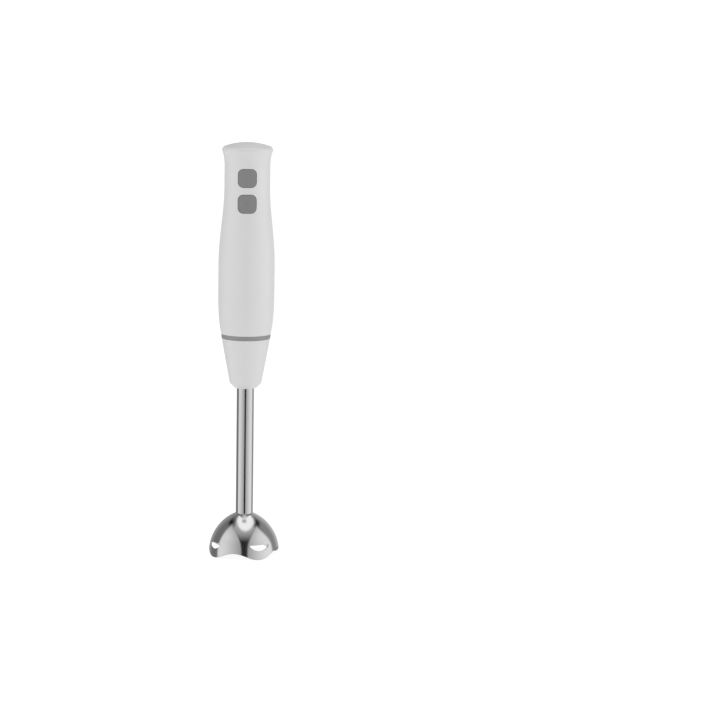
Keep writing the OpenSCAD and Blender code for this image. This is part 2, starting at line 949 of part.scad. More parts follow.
// circuit board
module switch_board() {
    color("darkgreen")
        difference() {
            block([-14, board_y, board_z], [14, board_back_y, board_top_z]);
            for (x = [-post_x, post_x]) bar_y(x, post_z, 1.1, board_y - 1, board_back_y + 1);
        }
}

// push switch behind a button
module push_switch(z) {
    color("black") {
        block([-3, bracket_y - 0.7, z - 3], [3, board_y, z + 3]);
        bar_y(0, z, 1.7, bracket_y - plunger_h, bracket_y - 0.5);
    }
}

// two screws that hold the board and its bracket
module board_screws() {
    color("silver")
        for (x = [-post_x, post_x])
            screw_y(x, post_z, 0.9, 1.8, board_back_y + 1.2, board_back_y, -13.3);
}

// bridge rectifier
module rectifier() {
    color("black")
        difference() {
            block([-7, board_back_y, 345], [7, board_back_y + 3.6, 357]);
            translate([7, board_back_y + 3, 357]) rotate([0, 45, 0]) cube([3, 12, 3], center = true);
        }
}

// suppression capacitor
module capacitor() {
    color("goldenrod")
        block([-9, board_back_y, 316], [9, board_back_y + 9, 329]);
}

// two chokes in the motor leads
module chokes() {
    color("saddlebrown")
        for (z = [334, 340])
            translate([-7, board_back_y + 2.6, z])
                rotate([0, 90, 0]) {
                    cylinder(h = 14, r = 1.5);
                    translate([0, 0, 2]) cylinder(h = 10, r = 2.5);
                }
}

// push button with a retaining flange behind the window
module push_button(z) {
    color("gray") {
        difference() {
            intersection() {
                housing_core(0.2);
                round_prism_y(button_w, button_h, button_corner, z, -40, flange_y);
            }
            intersection() {
                housing_core(-2);
                round_prism_y(button_w - 3, button_h - 3, button_corner - 1.5, z, -40, -10);
            }
        }
        round_prism_y(button_w + 2.4, button_h + 2.4, button_corner + 1.2, z, flange_y,
            flange_y + flange_t);
        bar_y(0, z, 2.4, flange_y + flange_t - 0.5, flange_y + flange_t + pin_h);
    }
}

// return spring between a button and the bracket
module button_spring(z) {
    color("silver")
        translate([0, flange_y + flange_t, z])
            rotate([-90, 0, 0])
                coil(5.1, 0.3, bracket_y - flange_y - flange_t, 2, 24);
}

bell();
bell_hub();
tube();
lower_bush();
shaft_seal();
seal_cup();
upper_bush();
leg_collar();
leg_socket();
drive_rod();
rod_clip();
drive_cup();
blade_hub();
blade();
blade_nut();
motor_base();
o_ring();
trim_ring();
front_housing();
rear_housing();
top_cap();
cord_gland();
cord_clamp();
clamp_screws();
housing_screws();
lower_damper();
upper_damper();
motor_can();
magnets();
lower_bearing();
end_bell();
upper_bearing();
brush_holders();
carbon_brushes();
brush_springs();
motor_shaft();
armature_core();
armature_winding();
commutator();
fan();
drive_dog();
switch_bracket();
switch_board();
push_switch(on_button_z);  // on_switch
push_switch(turbo_button_z);  // turbo_switch
board_screws();
rectifier();
capacitor();
chokes();
push_button(on_button_z);  // on_button
push_button(turbo_button_z);  // turbo_button
button_spring(on_button_z);  // on_spring
button_spring(turbo_button_z);  // turbo_spring
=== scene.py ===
"""Immersion blender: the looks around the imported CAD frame. Metres, +Z up, buttons towards -Y."""
import json
import math

import bmesh
import bpy
from mathutils import Matrix, Vector


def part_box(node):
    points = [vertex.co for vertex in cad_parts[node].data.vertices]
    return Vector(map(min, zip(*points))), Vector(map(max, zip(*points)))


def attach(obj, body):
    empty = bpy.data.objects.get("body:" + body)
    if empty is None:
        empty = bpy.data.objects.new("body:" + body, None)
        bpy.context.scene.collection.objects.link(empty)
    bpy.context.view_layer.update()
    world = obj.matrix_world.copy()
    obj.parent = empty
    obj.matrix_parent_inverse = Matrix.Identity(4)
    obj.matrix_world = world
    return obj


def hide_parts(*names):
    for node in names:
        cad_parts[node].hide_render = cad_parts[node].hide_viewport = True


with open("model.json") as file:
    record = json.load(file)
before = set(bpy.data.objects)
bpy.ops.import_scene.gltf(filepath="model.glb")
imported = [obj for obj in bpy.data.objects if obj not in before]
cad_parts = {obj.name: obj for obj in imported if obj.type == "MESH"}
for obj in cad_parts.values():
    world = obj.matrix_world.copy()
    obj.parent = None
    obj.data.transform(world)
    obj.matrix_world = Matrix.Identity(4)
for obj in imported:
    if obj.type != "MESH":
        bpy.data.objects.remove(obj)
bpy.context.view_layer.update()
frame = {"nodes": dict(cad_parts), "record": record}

MM = 0.001
SHARP = math.radians(32)  # an edge that turns more than this stays sharp


# ---------- driving sizes, read from the frame where a node's box gives them ----------

def high(node):
    """Highest corner of a CAD node."""
    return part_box(node)[1]


def low(node):
    """Lowest corner of a CAD node."""
    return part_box(node)[0]


def middle_z(node):
    """Height of the middle of a CAD node."""
    return (low(node).z + high(node).z) / 2


# Housing: a flared base, a straight belly, a waved neck and a flared, rounded lip round the cap
TOP_Z = high("top_cap").z
HOUSING_Z = low("front_housing").z
LIP_TOP_Z = high("front_housing").z
BELLY_R = high("front_housing").x
BASE_R = 22.9 * MM
NECK_R = 21 * MM
LIP_R = 23.5 * MM
BELLY_LOW_Z = 250 * MM
BELLY_TOP_Z = 272 * MM
NECK_LOW_Z = 345 * MM
NECK_TOP_Z = 360 * MM
LIP_Z = 377.1 * MM
LIP_ROUND = 4.1 * MM
LIP_TURN = math.radians(71)
SHELL_WALL = 2.2 * MM
CAP_R = high("top_cap").x
CAP_GAP = 0.15 * MM
CAP_SEAT_Z = 378 * MM
CAP_SEAT_R = 20.1 * MM

# Buttons and cord inlet
BUTTON_W = 16.6 * MM
BUTTON_H = 16.6 * MM
BUTTON_CORNER = 4.7 * MM
WINDOW_GAP = 0.2 * MM
BUTTONS = {name: middle_z(name) for name in ("on_button", "turbo_button")}
GLAND_Z = middle_z("cord_gland")

# Blade guard: an arc turned about the axis from beyond it, a skirt, a waved rim and feed slots
BELL_R = 32.7 * MM
BELL_WALL = 0.9 * MM
BELL_CENTRE_Z = 2 * MM
BELL_ARC_X = 7.8 * MM
DOME_R = BELL_R + BELL_ARC_X
RIM_TURN = math.radians(-16.5)
RIM_MEAN = 3.6 * MM
RIM_SIDE = 1.45 * MM
SLOT_W = 20.9 * MM
SLOT_H = 5.5 * MM
SLOT_TOP_Z = 13.6 * MM
TUBE_R = high("tube").x
NEAR_AXIS = 0.002 * MM  # where a spun outline stops short of the axis


# ---------- mesh helpers ----------

def make_object(name, points, faces):
    """A mesh object at the origin, its faces turned outwards."""
    mesh = bpy.data.meshes.new(name)
    mesh.from_pydata(points, [], faces)
    mesh.validate()
    work = bmesh.new()
    work.from_mesh(mesh)
    bmesh.ops.recalc_face_normals(work, faces=work.faces)
    work.to_mesh(mesh)
    work.free()
    obj = bpy.data.objects.new(name, mesh)
    bpy.context.scene.collection.objects.link(obj)
    return obj


def smooth(obj, angle=SHARP):
    """Smooth shading, with the edges sharper than an angle kept."""
    obj.data.polygons.foreach_set("use_smooth", [True] * len(obj.data.polygons))
    obj.data.set_sharp_from_angle(angle=angle)
    return obj


def loft(name, rows, around=True, along=False, caps=False, flat_ends=False):
    """Skins rows of points: around joins a row's ends, along joins the last row to the first.

    The ends stay open, or each gets a fan of caps or one flat face.
    """
    count = len(rows[0])
    points = [p for row in rows for p in row]
    faces = []
    for i in range(len(rows) if along else len(rows) - 1):
        here, there = i * count, (i + 1) % len(rows) * count
        for k in range(count if around else count - 1):
            nxt = (k + 1) % count
            faces.append((here + k, here + nxt, there + nxt, there + k))
    if caps:
        for row in (0, len(rows) - 1):
            centre = sum((Vector(p) for p in rows[row]), Vector()) / count
            points.append(tuple(centre))
            faces += [
                (row * count + k, row * count + (k + 1) % count, len(points) - 1)
                for k in range(count)
            ]
    if flat_ends:
        last = len(points) - count
        faces += [tuple(range(count)), tuple(range(last, last + count))]
    return make_object(name, points, faces)


def spin(name, profile, steps=192):
    """Turns a closed outline of (radius, z) points all the way round the Z axis."""
    rows = []
    for i in range(steps):
        a = math.tau * i / steps
        rows.append([(r * math.cos(a), r * math.sin(a), z) for r, z in profile])
    return smooth(loft(name, rows, around=True, along=True))


def rounded(corners, steps=6):
    """A closed outline from (x, y, radius) corners, each rounded by its radius."""
    out = []
    for i, (x, y, radius) in enumerate(corners):
        here = Vector((x, y))
        if radius <= 0:
            out.append((x, y))
            continue
        before = (Vector(corners[i - 1][:2]) - here).normalized()
        after = (Vector(corners[(i + 1) % len(corners)][:2]) - here).normalized()
        half = before.angle(after) / 2
        reach = radius / math.tan(half)
        centre = here + (before + after).normalized() * (radius / math.sin(half))
        start = here + before * reach - centre
        end = here + after * reach - centre
        turn = start.angle_signed(end)
        for k in range(steps + 1):
            arm = start.copy()
            arm.rotate(Matrix.Rotation(-turn * k / steps, 2))
            out.append(tuple(centre + arm))
    return out


def apply_modifiers(obj):
    """Bakes an object's modifiers into its mesh."""
    graph = bpy.context.evaluated_depsgraph_get()
    mesh = bpy.data.meshes.new_from_object(obj.evaluated_get(graph))
    obj.modifiers.clear()
    old = obj.data
    obj.data = mesh
    bpy.data.meshes.remove(old)
    return obj


def cut(obj, cutters, operation="DIFFERENCE"):
    """Cuts shapes out of an object, or adds them to it, and removes them."""
    for cutter in cutters:
        step = obj.modifiers.new("cut", "BOOLEAN")
        step.operation = operation
        step.solver = "EXACT"
        step.object = cutter
    apply_modifiers(obj)
    for cutter in cutters:
        bpy.data.objects.remove(cutter)
    return obj


def true_normals(obj, normal_at, min_cosine=0.9):
    """Gives a known surface its own normals, so that cuts leave no dents in the shine.

    A corner keeps its usual normal where normal_at knows none or the face is turned away from it.
    """
    mesh = obj.data
    normals = []
    for face in mesh.polygons:
        for vertex in face.vertices:
            found = normal_at(mesh.vertices[vertex].co)
            fits = found is not None and found.dot(face.normal) > min_cosine
            normals.append(found if fits else Vector())
    mesh.normals_split_custom_set(normals)
    return obj


# ---------- housing ----------

def housing_r(z):
    """Outside radius of the housing at a height: cubic at both ends, half a wave between them."""
    if z < BELLY_LOW_Z:
        share = (BELLY_LOW_Z - z) / (BELLY_LOW_Z - HOUSING_Z)
        return BELLY_R - (BELLY_R - BASE_R) * share ** 3
    if z < BELLY_TOP_Z:
        return BELLY_R
    if z < NECK_LOW_Z:
        share = (z - BELLY_TOP_Z) / (NECK_LOW_Z - BELLY_TOP_Z)
        return NECK_R + (BELLY_R - NECK_R) * (1 + math.cos(math.pi * share)) / 2
    if z < NECK_TOP_Z:
        return NECK_R
    return NECK_R + (LIP_R - NECK_R) * ((z - NECK_TOP_Z) / (LIP_Z - NECK_TOP_Z)) ** 3


def housing_normal(co):
    """The housing's own normal at a point, or None off its outside."""
    bottom_edge, tolerance, step = 0.6 * MM, 0.004 * MM, 0.1 * MM
    r = math.hypot(co.x, co.y)
    if not HOUSING_Z + bottom_edge < co.z < LIP_Z or abs(r - housing_r(co.z)) > tolerance:
        return None
    slope = (housing_r(co.z + step) - housing_r(co.z - step)) / (2 * step)
    return Vector((co.x / r, co.y / r, -slope)).normalized()


def housing_profile():
    """Closed outline of the housing's wall: up the outside, round the lip and down the inside."""
    edge, soft = 0.45 * MM, 0.12 * MM
    edge_steps, wall_steps, lip_steps, inner_steps = 4, 140, 14, 40
    outer = []
    for k in range(edge_steps + 1):
        a = math.pi / 2 * k / edge_steps
        outer.append((BASE_R - edge + edge * math.sin(a), HOUSING_Z + edge - edge * math.cos(a)))
    for i in range(1, wall_steps + 1):
        z = HOUSING_Z + edge + (LIP_Z - HOUSING_Z - edge) * i / wall_steps
        outer.append((housing_r(z), z))
    for k in range(1, lip_steps):
        a = LIP_TURN * k / lip_steps
        r = LIP_R - LIP_ROUND + LIP_ROUND * math.cos(a)
        outer.append((r, LIP_Z + LIP_ROUND * math.sin(a)))
    groove_r = CAP_R + CAP_GAP
    outer += [
        (groove_r + soft, LIP_TOP_Z - 0.3 * soft),
        (groove_r + 0.3 * soft, LIP_TOP_Z - 0.5 * soft),
        (groove_r, LIP_TOP_Z - 1.2 * soft),
        (groove_r, CAP_SEAT_Z),
        (CAP_SEAT_R, CAP_SEAT_Z),
    ]
    inner = []
    for i in range(inner_steps + 1):
        z = LIP_Z - (LIP_Z - HOUSING_Z) * i / inner_steps
        r = housing_r(z) - SHELL_WALL
        inner.append((min(r, CAP_SEAT_R) if z > NECK_TOP_Z else r, z))
    return outer + inner


def half_shell(name, start):
    """Half of the housing from a bearing on, its long edges slightly rounded at the seam."""
    profile = housing_profile()
    seam = 0.35 * MM
    steps = 150
    turns = [
        (seam * f / BELLY_R, seam * (1 - math.sqrt(1 - (1 - f) ** 2)))
        for f in (0, 0.15, 0.4, 0.7)
    ]
    spots = turns + [(math.pi * i / steps, 0) for i in range(1, steps)]
    spots += [(math.pi - a, drop) for a, drop in reversed(turns)]
    rows = []
    for a, drop in spots:
        x, y = math.cos(start + a), math.sin(start + a)
        rows.append([((r - drop) * x, (r - drop) * y, z) for r, z in profile])
    return loft(name, rows, flat_ends=True)


def rounded_outline(w, h, radius, grow, arc_steps=8, side_steps=8):
    """Points of a rectangle with round corners, grown outwards by an offset."""
    r = radius + grow
    a, b = w / 2 + grow - r, h / 2 + grow - r
    out = []
    corners = [(a, b, 0), (-a, b, 90), (-a, -b, 180), (a, -b, 270)]
    for i, (cx, cz, turn) in enumerate(corners):
        for k in range(arc_steps + 1):
            t = math.radians(turn + 90 * k / arc_steps)
            out.append((cx + r * math.cos(t), cz + r * math.sin(t)))
        x0, z0 = out[-1]
        next_x, next_z, next_turn = corners[(i + 1) % 4]
        t = math.radians(next_turn)
        x1, z1 = next_x + r * math.cos(t), next_z + r * math.sin(t)
        for k in range(1, side_steps):
            f = k / side_steps
            out.append((x0 + (x1 - x0) * f, z0 + (z1 - z0) * f))
    return out


def pill_outline(w, h, grow, arc_steps=16, side_steps=12):
    """Points of a pill lying along X, grown outwards: a circle if it is as wide as it is high."""
    r, reach = h / 2 + grow, (w - h) / 2
    out = []
    for side in (1, -1):
        for k in range(arc_steps + (1 if reach else 0)):
            t = math.pi * (k / arc_steps - side / 2)
            out.append((side * reach + r * math.cos(t), r * math.sin(t)))
        if reach:
            for k in range(1, side_steps):
                out.append((side * reach * (1 - 2 * k / side_steps), side * r))
    return out


def rim_layers(round_r, depth, height=2 * MM):
    """(growth, height) steps of a hole's cutter: flared, then round at the edge, then straight."""
    flare = 1.3
    layers = [(round_r * flare, height)]
    for degrees in (14, 30, 46, 62, 76, 90):
        a = math.radians(degrees)
        layers.append((round_r * (1 - math.sin(a)), -round_r * (1 - math.cos(a))))
    layers.append((0, -depth))
    return layers


def housing_cutter(side, x, z, outline, layers):
    """A cutter along Y through the housing whose rounded edge follows its curved face."""
    rows = []
    for grow, height in layers:
        row = []
        for dx, dz in outline(grow):
            r = housing_r(z + dz)
            y = math.sqrt(r * r - (x + dx) ** 2) + height
            row.append((x + dx, side * y, z + dz))
        rows.append(row)
    return loft("cutter", rows, caps=True)


def front_housing():
    """Front half with the two button windows."""
    shell = half_shell("housing_front", math.pi)
    w, h = BUTTON_W + 2 * WINDOW_GAP, BUTTON_H + 2 * WINDOW_GAP
    layers = rim_layers(round_r=0.55 * MM, depth=7 * MM)

    def window(grow):
        return rounded_outline(w, h, BUTTON_CORNER + WINDOW_GAP, grow)

    cut(shell, [housing_cutter(-1, 0, z, window, layers) for z in BUTTONS.values()])
    return true_normals(smooth(shell), housing_normal)


def gland_rings(name, profile, steps=96):
    """A closed round solid along Y at the cord gland, from (radius, y) points."""
    turns = [math.tau * (i + 0.5) / steps for i in range(steps)]
    rows = [[(r * math.cos(a), y, GLAND_Z + r * math.sin(a)) for a in turns] for r, y in profile]
    return loft(name, rows, caps=True)


def rear_housing():
    """Rear half with the air slots, the screw recesses and the cord inlet."""
    shell = half_shell("housing_rear", 0)
    boss_r, boss_root_y, boss_y = 7.6 * MM, 17 * MM, 21.8 * MM
    edge, edge_steps = 0.8 * MM, 6
    boss = [(boss_r, boss_root_y)]
    for k in range(edge_steps + 1):
        a = math.pi / 2 * k / edge_steps
        boss.append((boss_r - edge + edge * math.cos(a), boss_y - edge + edge * math.sin(a)))
    cut(shell, [gland_rings("boss", boss)], "UNION")

    cutters = []

    def hole(x, z, w, h, layers):
        cutters.append(housing_cutter(1, x, z, lambda grow: pill_outline(w, h, grow), layers))

    slot_groups = ((283, 5, 20), (222, 3, 16))  # lowest height, count and width, in mm
    slot_pitch, slot_h = 3.6, 1.8 * MM
    for first, count, w in slot_groups:
        for i in range(count):
            z = (first + slot_pitch * i) * MM
            hole(0, z, w * MM, slot_h, rim_layers(round_r=0.35 * MM, depth=6 * MM))
    screws = ((14, 304), (-14, 304), (12.6, 369), (-12.6, 369))  # x and height, in mm
    recess = 6 * MM
    for x, z in screws:
        hole(x * MM, z * MM, recess, recess, rim_layers(round_r=0.4 * MM, depth=9 * MM))
    inlet_r, inlet_from_y, inlet_to_y = 4.99 * MM, 10 * MM, 30 * MM
    cutters.append(gland_rings("cutter", [(inlet_r, inlet_from_y), (inlet_r, inlet_to_y)]))
    cut(shell, cutters)
    return true_normals(smooth(shell), housing_normal)


def top_cap():
    """Domed cap set in the lip, with a skirt that reaches down into the housing."""
    rise = TOP_Z - LIP_TOP_Z
    dome = (CAP_R ** 2 + rise ** 2) / (2 * rise)
    edge = 0.1 * MM
    steps = 60
    outline = [(NEAR_AXIS, TOP_Z)]
    for i in range(1, steps):
        r = (CAP_R - edge) * i / steps
        outline.append((r, TOP_Z - dome + math.sqrt(dome ** 2 - r ** 2)))
    outline += rounded([
        (CAP_R - edge, LIP_TOP_Z + 0.38 * edge, 0),
        (CAP_R, LIP_TOP_Z, edge / 2),
        (CAP_R, CAP_SEAT_Z, 0),
    ])
    skirt_r, inner_r = 19.3 * MM, 17.5 * MM
    inner_z, inner_top_z = LIP_TOP_Z - 2 * MM, TOP_Z - 2.2 * MM
    bottom = low("top_cap").z
    outline += [(skirt_r, CAP_SEAT_Z), (skirt_r, bottom)]
    outline += [(inner_r, bottom), (inner_r, inner_z), (NEAR_AXIS, inner_top_z)]
    return spin("cap", outline)


def trim_ring():
    """Grey ring between the housing and the leg."""
    bottom, top = low("trim_ring").z, high("trim_ring").z
    step_z = bottom + 1.5 * MM
    r, seat_r, inner_r = high("trim_ring").x, 18.8 * MM, 17 * MM
    edge = 0.35 * MM
    corners = [
        (seat_r, bottom, 0), (r, bottom, edge), (r, top, edge),
        (inner_r, top, 0), (inner_r, step_z, 0), (seat_r, step_z, 0),
    ]
    return spin("ring", rounded(corners))


def button(name):
    """Soft-touch push button: a dished pad with a round edge and raised bars, on a flange."""
    z0 = BUTTONS[name]
    flange_y, back_y = -15.4 * MM, -14.2 * MM
    flange = 1.2 * MM
    edge, proud, dish = 0.7 * MM, 0.2 * MM, 0.18 * MM

    def face_y(x, z):
        r = housing_r(z0 + z) + proud
        return -math.sqrt(r * r - x * x)

    def ring(grow, scale, drop):
        return [
            (x * scale, face_y(x * scale, z * scale) + drop, z0 + z * scale)
            for x, z in rounded_outline(BUTTON_W, BUTTON_H, BUTTON_CORNER, grow)
        ]

    def flat(grow, y):
        outline = rounded_outline(BUTTON_W, BUTTON_H, BUTTON_CORNER, grow)
        return [(x, y, z0 + z) for x, z in outline]

    rows = []
    for scale in (0.02, 0.15, 0.3, 0.45, 0.6, 0.72, 0.84, 0.93):
        rows.append(ring(-edge, scale, dish * (1 - scale ** 2)))
    for degrees in range(0, 91, 15):
        a = math.radians(degrees)
        rows.append(ring(-edge * (1 - math.sin(a)), 1, edge * (1 - math.cos(a))))
    rows += [flat(0, flange_y), flat(flange, flange_y), flat(flange, back_y)]
    pad = loft(name + "_pad", rows, caps=True)
    marks = 1 if name == "on_button" else 2
    mark_pitch, mark_sink = 2.6 * MM, 0.9
    for i in range(marks):
        x = (i - (marks - 1) / 2) * mark_pitch
        add_mark(pad, lambda dx, dz: face_y(x + dx, dz) + dish * mark_sink, x, z0)
    return smooth(pad)


def add_mark(pad, face_y, x, z0):
    """Joins a small raised bar to a button, for the thumb to find."""
    w, h, corner = 1.1 * MM, 4.6 * MM, 0.54 * MM
    height, soft = 0.22 * MM, 0.4 * MM
    work = bmesh.new()
    work.from_mesh(pad.data)
    rows = []
    for degrees in range(0, 91, 18):
        a = math.radians(degrees)
        grow = -soft * (1 - math.cos(a))
        outline = rounded_outline(w, h, corner, grow, arc_steps=5, side_steps=3)
        rows.append([
            work.verts.new((x + dx, face_y(dx, dz) - height * math.sin(a), z0 + dz))
            for dx, dz in outline
        ])
    for one, two in zip(rows, rows[1:]):
        for k in range(len(one)):
            nxt = (k + 1) % len(one)
            work.faces.new((one[k], one[nxt], two[nxt], two[k]))
    work.faces.new(rows[-1])
    work.faces.new(reversed(rows[0]))
    bmesh.ops.recalc_face_normals(work, faces=work.faces)
    work.to_mesh(pad.data)
    work.free()


# ---------- leg ----------

def leg_collar():
    """Conical collar with a bevelled lower edge, hollow above its core for the bayonet socket."""
    bottom, top = low("leg_collar").z, high("leg_collar").z
    foot_r, top_r = 10 * MM, high("leg_collar").x
    shoulder_r, shoulder_z = 14.6 * MM, bottom + 4.6 * MM
    seat_r, socket_r, seat_z = 20.5 * MM, 19.4 * MM, top - 2.2 * MM
    core_r, core_z = 13 * MM, 168 * MM
    corners = [
        (TUBE_R, bottom, 0),
        (foot_r, bottom, 0.9 * MM),
        (shoulder_r, shoulder_z, 1.3 * MM),
        (top_r, top, 0.5 * MM),
        (seat_r, top, 0.2 * MM),
        (seat_r, seat_z, 0),
        (socket_r, seat_z, 0),
        (core_r, core_z, 0),
        (TUBE_R, core_z, 0),
    ]
    return spin("collar", rounded(corners))


def tube():
    """Polished shaft tube."""
    bottom, top = low("tube").z, high("tube").z
    wall, edge = 0.8 * MM, 0.2 * MM
    inner = TUBE_R - wall
    corners = [(inner, bottom, 0), (TUBE_R, bottom, 0), (TUBE_R, top, edge), (inner, top, 0)]
    return spin("shaft_tube", rounded(corners), steps=256)


def rim_z(a):
    """Height of the bell's scalloped rim at an angle from its front arch."""
    return max(0, RIM_MEAN * (1 + math.cos(4 * a)) - RIM_SIDE * math.cos(2 * a))


def bell_column(angle):
    """Closed outline of the bell's sheet at an angle from straight ahead: (radius, z) points."""
    sheet_steps, edge_steps, weld_steps = 72, 8, 6
    half = BELL_WALL / 2
    weld, weld_rise, inner_weld_rise = 0.35 * 0.9 * MM, 0.1 * MM, 0.2 * MM
    mid_r = DOME_R - half
    start = math.asin((TUBE_R + weld + BELL_ARC_X) / DOME_R)
    arc = (math.pi / 2 - start) * mid_r
    rise = rim_z(angle - RIM_TURN) + half - BELL_CENTRE_Z
    total = arc - (rise if rise < 0 else mid_r * math.asin(rise / mid_r))

    def middle(s):
        """A point of the mid surface and its outward normal, at a run of s from the neck."""
        turn = min(start + s / mid_r, math.pi / 2)
        nr, nz = math.sin(turn), math.cos(turn)
        z = BELL_CENTRE_Z + mid_r * nz - max(0, s - arc)
        return (mid_r * nr - BELL_ARC_X, z), (nr, nz)

    outer, inner = [], []
    for i in range(sheet_steps + 1):
        (r, z), (nr, nz) = middle(total * i / sheet_steps)
        outer.append((r + half * nr, z + half * nz))
        inner.append((r - half * nr, z - half * nz))
    (r, z), (nr, nz) = middle(total)
    edge = []
    for k in range(1, edge_steps):
        a = math.pi * k / edge_steps
        along, out = half * math.sin(a), half * math.cos(a)
        edge.append((r + nr * out + nz * along, max(0, z + nz * out - nr * along)))
    r0, z0 = outer[0]
    neck = []
    for k in range(1, weld_steps + 1):
        a = math.pi / 2 * k / weld_steps
        z = z0 + weld * (1 - math.cos(a)) + weld_rise * math.sin(a)
        neck.append((r0 - weld * math.sin(a), z))
    joint = (TUBE_R, inner[0][1] + inner_weld_rise)
    return neck[::-1] + outer + edge + inner[::-1] + [joint]


def bell_normal(co):
    """The dome's or skirt's own outward normal at a point, or None off its outside."""
    neck_edge, tolerance = 0.6 * MM, 0.006 * MM
    flat = math.hypot(co.x, co.y)
    out, up = flat + BELL_ARC_X, max(0, co.z - BELL_CENTRE_Z)
    if flat < TUBE_R + neck_edge or abs(math.hypot(out, up) - DOME_R) > tolerance:
        return None
    return Vector((co.x / flat * out, co.y / flat * out, up)).normalized()


def dome_r(z):
    """Outside radius of the bell at a height."""
    return math.sqrt(DOME_R ** 2 - max(0, z - BELL_CENTRE_Z) ** 2) - BELL_ARC_X


def slot_outline(grow, arc_steps=26, corner_steps=5, top_steps=20):
    """Boat-shaped slot, grown outwards: a straight top edge over an arc, its corners rounded."""
    half_w, h = SLOT_W / 2 + grow, SLOT_H + 2 * grow
    top = SLOT_TOP_Z + grow
    corner = 0.9 * MM + grow
    corner_z = top - corner * 0.9
    arc_r = (half_w ** 2 + h ** 2) / (2 * h)
    reach = math.asin(half_w / arc_r)
    arc = []
    for k in range(arc_steps + 1):
        a = -reach + 2 * reach * k / arc_steps
        arc.append((arc_r * math.sin(a), top - h + arc_r - arc_r * math.cos(a)))
    arc = [(x, z) for x, z in arc if z < corner_z]
    start_x, start_z = arc[-1]
    pull_x = start_x + 0.55 * corner
    end_x = start_x - 0.15 * MM
    right = []
    for k in range(1, corner_steps + 1):
        t = k / corner_steps
        x = (1 - t) ** 2 * start_x + 2 * t * (1 - t) * pull_x + t * t * end_x
        z = (1 - t) ** 2 * start_z + 2 * t * (1 - t) * top + t * t * top
        right.append((x, z))
    flat = [(end_x * (1 - 2 * k / top_steps), top) for k in range(1, top_steps)]
    left = [(-x, z) for x, z in reversed(right)]
    return arc + right + flat + left


def bell():
    """Polished blade guard: thin dome, scalloped rolled rim and a slot over each of four feet."""
    steps, feet = 360, 4
    rows = []
    for i in range(steps):
        a = math.tau * i / steps
        rows.append([(r * math.sin(a), -r * math.cos(a), z) for r, z in bell_column(a)])
    guard = loft("guard", rows, around=True, along=True)
    cutters = []
    for k in range(feet):
        middle = RIM_TURN + math.pi / 4 + math.pi / 2 * k
        cutter_rows = []
        for grow, height in rim_layers(round_r=0.25 * MM, depth=4 * MM, height=1.5 * MM):
            row = []
            for u, z in slot_outline(grow):
                a = middle + math.asin(u / dome_r(z))
                r = dome_r(z) + height
                row.append((r * math.sin(a), -r * math.cos(a), z))
            cutter_rows.append(row)
        cutters.append(loft("cutter", cutter_rows, caps=True))
    cut(guard, cutters)
    return true_normals(smooth(guard), bell_normal)


# ---------- materials ----------

class Shader:
    """A Principled material with a few helpers for its procedural detail."""

    def __init__(self, name, colour, roughness, metallic=0.0, coat=0.0, specular=0.5):
        self.material = bpy.data.materials.new(name)
        self.material.use_nodes = True
        self.tree = self.material.node_tree
        self.bsdf = self.tree.nodes["Principled BSDF"]
        self.colour = colour
        self.bsdf.inputs["Base Color"].default_value = (*colour, 1)
        self.bsdf.inputs["Roughness"].default_value = roughness
        self.bsdf.inputs["Metallic"].default_value = metallic
        self.bsdf.inputs["Coat Weight"].default_value = coat
        self.bsdf.inputs["Specular IOR Level"].default_value = specular
        self.place = self.tree.nodes.new("ShaderNodeTexCoord").outputs["Object"]

    def node(self, kind, **values):
        found = self.tree.nodes.new(kind)
        for key, value in values.items():
            if key in found.inputs:
                found.inputs[key].default_value = value
            else:
                setattr(found, key, value)
        return found

    def link(self, start, end):
        self.tree.links.new(start, end)

    def noise(self, size, detail=3.0, stretch=(1, 1, 1)):
        """Noise whose lumps are about a size in metres, squeezed along each axis by stretch."""
        scale = self.node("ShaderNodeMapping")
        scale.inputs["Scale"].default_value = [s / size for s in stretch]
        self.link(self.place, scale.inputs["Vector"])
        noise = self.node("ShaderNodeTexNoise", Scale=1.0, Detail=detail)
        self.link(scale.outputs["Vector"], noise.inputs["Vector"])
        return noise.outputs["Fac"]

    def spread(self, source, low_value, high_value):
        """Maps noise, most of which lies between 0.3 and 0.7, to a range."""
        step = self.node("ShaderNodeMapRange")
        for name, value in (("From Min", 0.3), ("From Max", 0.7),
                            ("To Min", low_value), ("To Max", high_value)):
            step.inputs[name].default_value = value
        self.link(source, step.inputs["Value"])
        return step.outputs["Result"]

    def tint(self, source, low_shade, high_shade):
        """Base colour that drifts between two shades of itself."""
        mix = self.node("ShaderNodeMix", data_type="RGBA")
        low_in, high_in, colour_out = mix.inputs[6], mix.inputs[7], mix.outputs[2]
        low_in.default_value = (*[min(1, c * low_shade) for c in self.colour], 1)
        high_in.default_value = (*[min(1, c * high_shade) for c in self.colour], 1)
        self.link(source, mix.inputs["Factor"])
        self.link(colour_out, self.bsdf.inputs["Base Color"])

    def roughness(self, source):
        self.link(source, self.bsdf.inputs["Roughness"])

    def bump(self, source, depth, strength=1.0):
        """Adds relief of a depth in metres to any relief already there."""
        bump = self.node("ShaderNodeBump", Strength=strength, Distance=depth)
        self.link(source, bump.inputs["Height"])
        if self.bsdf.inputs["Normal"].links:
            self.link(self.bsdf.inputs["Normal"].links[0].from_socket, bump.inputs["Normal"])
        self.link(bump.outputs["Normal"], self.bsdf.inputs["Normal"])


